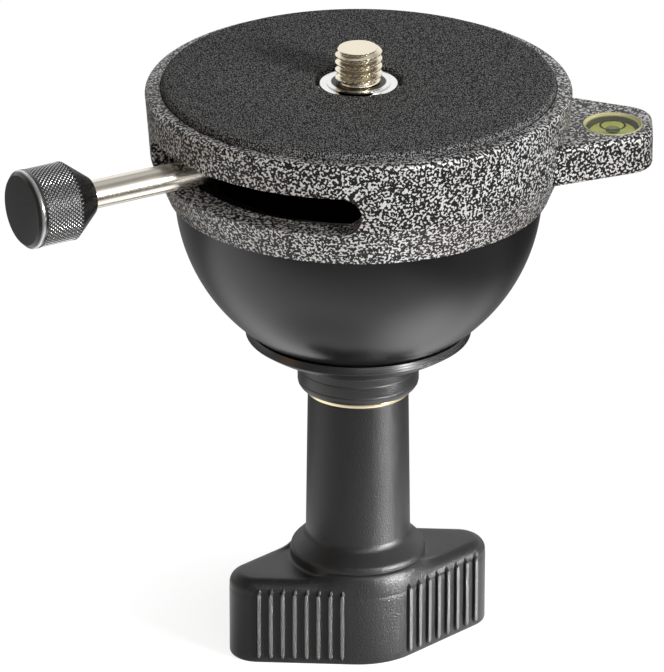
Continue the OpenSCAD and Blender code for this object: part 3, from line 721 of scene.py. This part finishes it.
# %% Stud
STUD_R, STUD_PITCH = 4.7625, 1.5875
THREAD_DEPTH, THREAD_RUNOUT = 0.97, 0.8
CREST_FLAT, ROOT_FLAT = 0.14, 0.22      # shares of half a turn
POINT_R, POINT_SLOPE = 4.1, 0.95
SHANK_R, SHANK_GAP = 4.0, 0.2
THREAD_SUNK = 0.6                       # how far the thread starts below the pad's top
STUD_POINTS, STUD_ROWS = 144, 110
low, high = span("mounting_stud")
stud_foot, stud_top = low[2], high[2]
thread_foot = pad_top - THREAD_SUNK


def thread_share(turns):
    """Depth of the thread from 0 at its crest to 1 at its root, for a number of turns."""
    off_crest = np.abs((turns % 1.0) - 0.5) * 2
    return np.clip((off_crest - CREST_FLAT) / (1 - CREST_FLAT - ROOT_FLAT), 0, 1)


angle = np.linspace(0, 2 * math.pi, STUD_POINTS, endpoint=False)
z = np.linspace(thread_foot, stud_top, STUD_ROWS)[:, None]
runout = np.clip((z - thread_foot) / THREAD_RUNOUT, 0, 1)
depth = 1 - runout + runout * thread_share(z / STUD_PITCH - angle / (2 * math.pi))
screw = np.minimum(STUD_R - THREAD_DEPTH * depth, POINT_R + (stud_top - z) * POINT_SLOPE)
shaft = np.stack([screw * np.cos(angle), screw * np.sin(angle), z + 0 * angle], -1)
shank = turned(np.array([(0.0, stud_foot), (SHANK_R, stud_foot),
                         (SHANK_R, thread_foot - SHANK_GAP)]), STUD_POINTS)
crown = np.stack([shaft[-1] * [k, k, 1] for k in (0.96, 0.6, 0.0)])
add_piece("stud", sheet(np.concatenate([shank, shaft, crown])), cut_nickel, "lever", "nickel",
          "mounting_stud", crease=35)

# %% [markdown]
# ## The lever and its knob
# The lever is a plain plated rod. The knob on it is turned, rolled with a diamond knurl and
# blackened. A knurl is two families of V grooves that wind opposite ways, so its depth is the
# larger of the two, and the grooves run out at both ends of the grip. The tips of the diamonds and
# the edge of the knob's end are worn bright.

# %% Lever rod
LEVER_TURN = math.radians(210.5)
ROD_R, ROD_IN, ROD_OUT, ROD_EDGE = 2.85, 5.0, 73.0, 0.5
joints = {joint["name"]: joint for joint in frame["joints"]}
lever_z = joints["lever_swing"]["pos_m"][2] / MM
out_way = np.array([math.cos(LEVER_TURN), math.sin(LEVER_TURN), 0.0])
side_way = np.array([-math.sin(LEVER_TURN), math.cos(LEVER_TURN), 0.0])


def along_lever(points):
    """Takes a shape turned about an upright axis to the lever's own axis: height goes outwards."""
    up = np.array([0.0, 0.0, 1.0])
    return (points[..., :1] * side_way + points[..., 1:2] * up + points[..., 2:] * out_way
            + [0, 0, lever_z])


profile = disc(ROD_R, ROD_IN, ROD_OUT, ROD_EDGE, ROD_EDGE)
add_piece("lever_bar", sheet(along_lever(turned(profile, COARSE))), nickel, "lever", "nickel",
          "lever_rod")

# %% Knurled knob
KNOB_OUT, KNOB_L, KNOB_R = 77.6, 15.2, 8.0
CONE_L, NECK_R, CHAMFER = 5.3, 3.9, 0.9
CONE_RIM = np.array([0.10, 0.13])       # from the grip's corner to the cone's last row
PLAIN_L = 0.9                           # plain band between the knurl and the chamfer
KNURL_COUNT, KNURL_PITCH, KNURL_DEPTH = 56, 0.95, 0.32
KNURL_RUNOUT, KNURL_ROWS, KNURL_POINTS = 0.35, 92, 8
EDGE_WEAR, EDGE_HALF = 0.6, 0.12        # wear at the chamfer's edge, and within what distance
knob_in = KNOB_OUT - KNOB_L
grip_from, grip_to = knob_in + CONE_L, KNOB_OUT - CHAMFER - PLAIN_L

tail = rounded([(ROD_R, knob_in), (NECK_R, knob_in), (KNOB_R, grip_from) - CONE_RIM,
                (KNOB_R, grip_from)], [0, 0.4, 0, 0], steps=4)
tip = rounded([(KNOB_R, grip_to), (KNOB_R, KNOB_OUT - CHAMFER), (KNOB_R - CHAMFER, KNOB_OUT),
               (0, KNOB_OUT)], [0, 0.15, 0.15, 0], steps=4)
grip = np.linspace(grip_from, grip_to, KNURL_ROWS)[1:-1]
profile = np.concatenate([tail, np.stack([KNOB_R + 0 * grip, grip], -1), tip])
knob = turned(profile, KNURL_COUNT * KNURL_POINTS)
along = knob[..., 2]
share = np.linspace(0, KNURL_COUNT, KNURL_COUNT * KNURL_POINTS, endpoint=False)


def groove(turns):
    """Depth of one family of grooves, 1 in the V and 0 halfway to the next."""
    return 1 - np.abs((turns % 1.0) - 0.5) * 2


depth = np.maximum(groove(share + along / KNURL_PITCH), groove(share - along / KNURL_PITCH))
fade = (np.clip((along - grip_from) / KNURL_RUNOUT, 0, 1)
        * np.clip((grip_to - along) / KNURL_RUNOUT, 0, 1))
shrink = 1 - KNURL_DEPTH * depth * fade / KNOB_R
knob = knob * np.stack([shrink, shrink, np.ones_like(shrink)], -1)
edge_wear = EDGE_WEAR * (np.abs(along - (KNOB_OUT - CHAMFER)) < EDGE_HALF)
wear = np.maximum((1 - depth) * fade, edge_wear)
add_piece("knob", sheet(along_lever(knob)), knurled, "lever", "knurled_black", "lever_knob",
          crease=60, wear=wear)

# %% [markdown]
# ## Washer and spring ring at the stud
# Under the pad's hole a bright washer carries a spring ring with a gap and two eyes for the pliers.
# The washer is turned. The ring has no formula as simple as that, so it is a copy of its solid with
# the loose triangles merged and a Bevel that breaks its stamped edges.

# %% Washer and spring ring
WASHER_HOLE = 6.55
RING_BREAK = 0.12                       # width of the ring's broken edges
SAME_FACE = 0.5                         # degrees, triangles that turn by less are one face
low, high = span("support_washer")
profile = band(WASHER_HOLE, high[0], low[2], high[2], [0.08, 0.15, 0.15, 0.08])
add_piece("stud_washer", sheet(turned(profile), loop=True), bright_steel, "lever", "bright_steel",
          "support_washer")


def merged_copy(node):
    """A copy of a solid's mesh with its loose triangles joined and its flat faces made whole."""
    shell = bmesh.new()
    shell.from_mesh(frame["nodes"][node].data)
    bmesh.ops.remove_doubles(shell, verts=shell.verts, dist=SEAM)
    bmesh.ops.dissolve_limit(shell, angle_limit=math.radians(SAME_FACE), verts=shell.verts,
                             edges=shell.edges)
    mesh = bpy.data.meshes.new(node + "_copy")
    shell.to_mesh(mesh)
    shell.free()
    return mesh


def edge_bevel(piece, width):
    """Breaks every sharp edge of a piece by a width in millimetres."""
    bevel = piece.modifiers.new("edges", "BEVEL")
    bevel.width = width * MM
    bevel.segments = 2
    bevel.angle_limit = math.radians(SHARP)
    bevel.harden_normals = True


spring_ring = dress("spring_ring", merged_copy("circlip"), bright_steel, "lever", "bright_steel",
                    "circlip")
edge_bevel(spring_ring, RING_BREAK)

# %% [markdown]
# ## The bubble level
# The level is a cup pressed into the ear, with a liquid, a bubble and a clear window. A black ring
# is printed under the window to show where the bubble belongs. The cup's mouth is a funnel, so the
# window lies sunk in it and the pale wall shows as a thin ring.

# %% Level
LEVEL_FLOOR, WELL_R, WELL_DEPTH, WELL_STEP = 1.0, 4.6, 1.5, 0.1
RIM_UP, RIM_W = 0.12, 0.35              # the cup's rim above the ear, and its width
WINDOW_T, WINDOW_IN = 0.4, 0.5
low, high = span("level_window")
centre = tuple((low + high)[:2] / 2)
level_r = (high[0] - low[0]) / 2
cup_foot, well_z = span("level_cup")[0][2], rim_z - WELL_DEPTH
cup_floor, rim_top = cup_foot + LEVEL_FLOOR, rim_z + RIM_UP
profile = rounded([(0, cup_foot), (level_r, cup_foot), (level_r, rim_top), (level_r - RIM_W, rim_top),
                   (WELL_R, well_z - WELL_STEP), (WELL_R, cup_floor), (0, cup_floor)],
                  [0, 0.2, 0.12, 0.12, 0.2, 0.2, 0])
add_piece("vial_cup", sheet(turned(profile, COARSE, centre)), cup_wall, "head",
          "clear_acrylic", "level_cup")

window_foot = rim_z - WINDOW_T
profile = disc(level_r - WINDOW_IN, window_foot, rim_z, 0.05, 0.15, steps=6)
add_piece("vial_window", sheet(turned(profile, COARSE, centre)), acrylic, "head",
          "clear_acrylic", "level_window")

profile = disc(WELL_R, cup_floor, well_z, 0.2, 0.1)
add_piece("vial_liquid", sheet(turned(profile, COARSE, centre)), liquid, "head",
          "level_liquid", "level_liquid")

# %% Bubble and ring
BUBBLE_T, BUBBLE_GAP, BUBBLE_POINTS = 0.4, 0.12, 48
MARK_R, MARK_W, MARK_T, MARK_GAP = 2.5, 0.42, 0.05, 0.06
low, high = span("level_bubble")
bubble_at, bubble_r = tuple((low + high)[:2] / 2), (high[0] - low[0]) / 2
bubble_top = window_foot - BUBBLE_GAP
profile = disc(bubble_r, bubble_top - BUBBLE_T, bubble_top, 0.1, 0.2)
add_piece("vial_bubble", sheet(turned(profile, BUBBLE_POINTS, bubble_at)), bubble_shade_disc, "head",
          "level_bubble", "level_bubble")

mark_z = window_foot - MARK_GAP
profile = band(MARK_R - MARK_W / 2, MARK_R + MARK_W / 2, mark_z, mark_z + MARK_T, [0.01] * 4, steps=2)
add_piece("vial_mark", sheet(turned(profile, COARSE, centre), loop=True), ring_ink, "head",
          "black_ball")

# %% [markdown]
# ## The casting and the parts inside
# The head's solid is already the right shape, so it keeps its mesh and only gets its paint. The
# parts that hide inside, such as the hub that the lever turns and the bolt that holds the dish, are
# kept the same way and get plain metal or nylon.

# %% Finishes for the solids that stay
KEPT = {"head_casting": hammertone, "handle_insert": brass, "tie_bolt": plain_steel,
        "ball_screws": plain_steel, "stud_hub": hub_steel, "cross_pin": plain_steel,
        "thrust_washer": nylon}
for node, finish in KEPT.items():
    materials = frame["nodes"][node].data.materials
    materials.clear()
    materials.append(finish)
print("kept", len(KEPT), "solids with new finishes")

# %% [markdown]
# ## The floor
# The base stands on white paper. The camera sees it mostly as even white, and near the foot more as
# plain matte paper, which keeps the shadow. Upright black gloss mirrors the floor, and what it
# mirrors there gives the handle and the ball their shape. So rays that come off gloss see a painted
# pool of light round the foot that is dim far in front, at the right and behind, as a lamp over a
# table leaves it, with a painted shadow left in front of the foot and a painted bright patch at the right.

# %% Floor
FLOOR_HALF = 3000
corners = np.array([[-1, -1, 0], [1, -1, 0], [1, 1, 0], [-1, 1, 0]]) * FLOOR_HALF * MM
mesh = bpy.data.meshes.new("floor")
mesh.from_pydata(corners, [], [(0, 1, 2, 3)])
floor = bpy.data.objects.new("floor", mesh)
scene.collection.objects.link(floor)
print("floor of", 2 * FLOOR_HALF * MM, "m")

# %% Floor paper
EVEN_WHITE = 0.92                       # share of the even white, the rest is matte
FOOT_MATTE = 0.55                       # more matte near the foot, for the shadow
FOOT_NEAR, FOOT_FAR = 28, 60            # from the axis, where that starts to fade and is gone
MATTE_LIT, FULL_WHITE = 0.25, 1.02      # brightness of the lit matte, and of the two together
PAPER = grey(0.62, 0.02)
paper = bpy.data.materials.new("floor")
paper.use_nodes = True
nodes = paper.node_tree.nodes
nodes.remove(nodes["Principled BSDF"])
place = Wire(paper.node_tree).make("ShaderNodeTexCoord", out="Object")


def ray_kind(wire, name):
    """1 for one kind of ray, such as Camera, and 0 for the others."""
    return wire.make("ShaderNodeLightPath", out="Is " + name + " Ray")


def seen_ray(wire):
    """1 for a ray from the camera, off gloss or through glass."""
    total = ray_kind(wire, "Camera") + ray_kind(wire, "Glossy") + ray_kind(wire, "Transmission")
    return total.sum("MINIMUM", total, 1.0)


FRONT_LEAST, FRONT_RISE = 0.35, (-220, -30)
RIGHT_LOSS, RIGHT_FALL = 0.85, (60, 140)
BACK_LOSS, BACK_FALL = 0.8, (10, 80)
DIM_SPOT, DIM_LOSS, DIM_REACH = (-20, -30, 0), 0.45, (15, 60)
BRIGHT_SPOT, BRIGHT_GAIN, BRIGHT_REACH = (50, -35, 0), 1.35, (5, 55)
lit_front = FRONT_LEAST + place.part("Y").rise(*FRONT_RISE)
dark_right = 1 - place.part("X").rise(*RIGHT_FALL) * RIGHT_LOSS
dark_back = 1 - place.part("Y").rise(*BACK_FALL) * BACK_LOSS
# painted shadow: the mirrored pool is dimmer left in front of the foot
dim_spot = 1 - DIM_LOSS + place.away(DIM_SPOT).rise(*DIM_REACH) * DIM_LOSS
# painted light: a brighter patch in the mirrored pool at the right in front
bright_spot = (1 - place.away(BRIGHT_SPOT).rise(*BRIGHT_REACH)) * BRIGHT_GAIN
pool = (lit_front * dark_right * dim_spot + bright_spot) * dark_back

close = ray_kind(place, "Camera") * (1 - place.reach().rise(FOOT_NEAR, FOOT_FAR))
matte_share = 1 - EVEN_WHITE + close * FOOT_MATTE
even = place.sum("DIVIDE", FULL_WHITE - matte_share * MATTE_LIT, 1 - matte_share)
shown = even + ray_kind(place, "Glossy") * (pool - even)
matte = place.make("ShaderNodeBsdfDiffuse", None, {"Color": PAPER})
white = place.make("ShaderNodeEmission", None, {"Color": shown, "Strength": 1.0})
mixed = place.make("ShaderNodeMixShader", None,
                   {0: seen_ray(place) * (1 - matte_share), 1: matte, 2: white})
paper.node_tree.links.new(mixed.socket, nodes["Material Output"].inputs["Surface"])
mesh.materials.append(paper)
print("paper with a shadow up to", FOOT_FAR, "mm from the axis")

# %% [markdown]
# ## The light
# Metal needs something to mirror, so the surroundings are a white wall behind and at the right and
# a dim room in front and above. For the light itself they are darker still, and six soft boxes do
# the work. The key stands at the right in front. Weak ones in front and above fill in, a warm one
# lights the left, and two small ones graze the handle's right side.

# %% Surroundings
SHADE, FRONT, BACKDROP = 0.08, 0.30, 1.0
BEHIND_FROM, RIGHT_FROM, ABOVE_FROM = (-0.15, 0.45), (0.25, 0.75), (0.45, 0.85)
world = bpy.data.worlds.new("studio")
world.use_nodes = True
scene.world = world
look = Wire(world.node_tree).make("ShaderNodeTexCoord", out="Generated")
behind = look.part("Y").step(*BEHIND_FROM)
right = look.part("X").step(*RIGHT_FROM)
above = look.part("Z").step(*ABOVE_FROM)
walls = look.sum("MINIMUM", behind + right, 1.0)
glow = SHADE + seen_ray(look) * (FRONT - SHADE + walls * (1 - above) * (BACKDROP - FRONT))
backdrop = world.node_tree.nodes["Background"]
backdrop.inputs["Strength"].default_value = 1.0
world.node_tree.links.new(glow.socket, backdrop.inputs["Color"])
print("surroundings from", SHADE, "to", BACKDROP)

# %% Soft boxes
HEAD, COLUMN, FOOT = (0, 0, 100), (0, 0, 28), (0, 0, 3)


def soft_box(name, stand, aim, size, power, spread=180, colour=(1.0, 1.0, 1.0)):
    """A lamp of a width and height at a place, aimed at a point, with a spread in degrees."""
    lamp = bpy.data.lights.new(name, "AREA")
    lamp.shape, lamp.energy, lamp.color = "RECTANGLE", power, colour
    lamp.size, lamp.size_y = size[0] * MM, size[1] * MM
    lamp.spread = math.radians(spread)
    holder = bpy.data.objects.new(name, lamp)
    holder.rotation_euler = Vector(np.subtract(aim, stand)).to_track_quat("-Z", "Y").to_euler()
    holder.location = np.array(stand) * MM
    holder.visible_camera = False
    scene.collection.objects.link(holder)


soft_box("key", (780, -690, 400), HEAD, (200, 200), 7.9)
soft_box("front", (200, -850, 620), HEAD, (500, 400), 1.5)
soft_box("top", (50, 250, 1000), HEAD, (600, 600), 0.3)
soft_box("fill", (-900, -260, 300), HEAD, (260, 500), 0.45, colour=(1.0, 0.55, 0.22))
soft_box("side", (205, -95, 30), COLUMN, (200, 60), 0.10, spread=30)
soft_box("low", (170, -100, 8), FOOT, (150, 14), 0.02, spread=20)
print("six soft boxes")
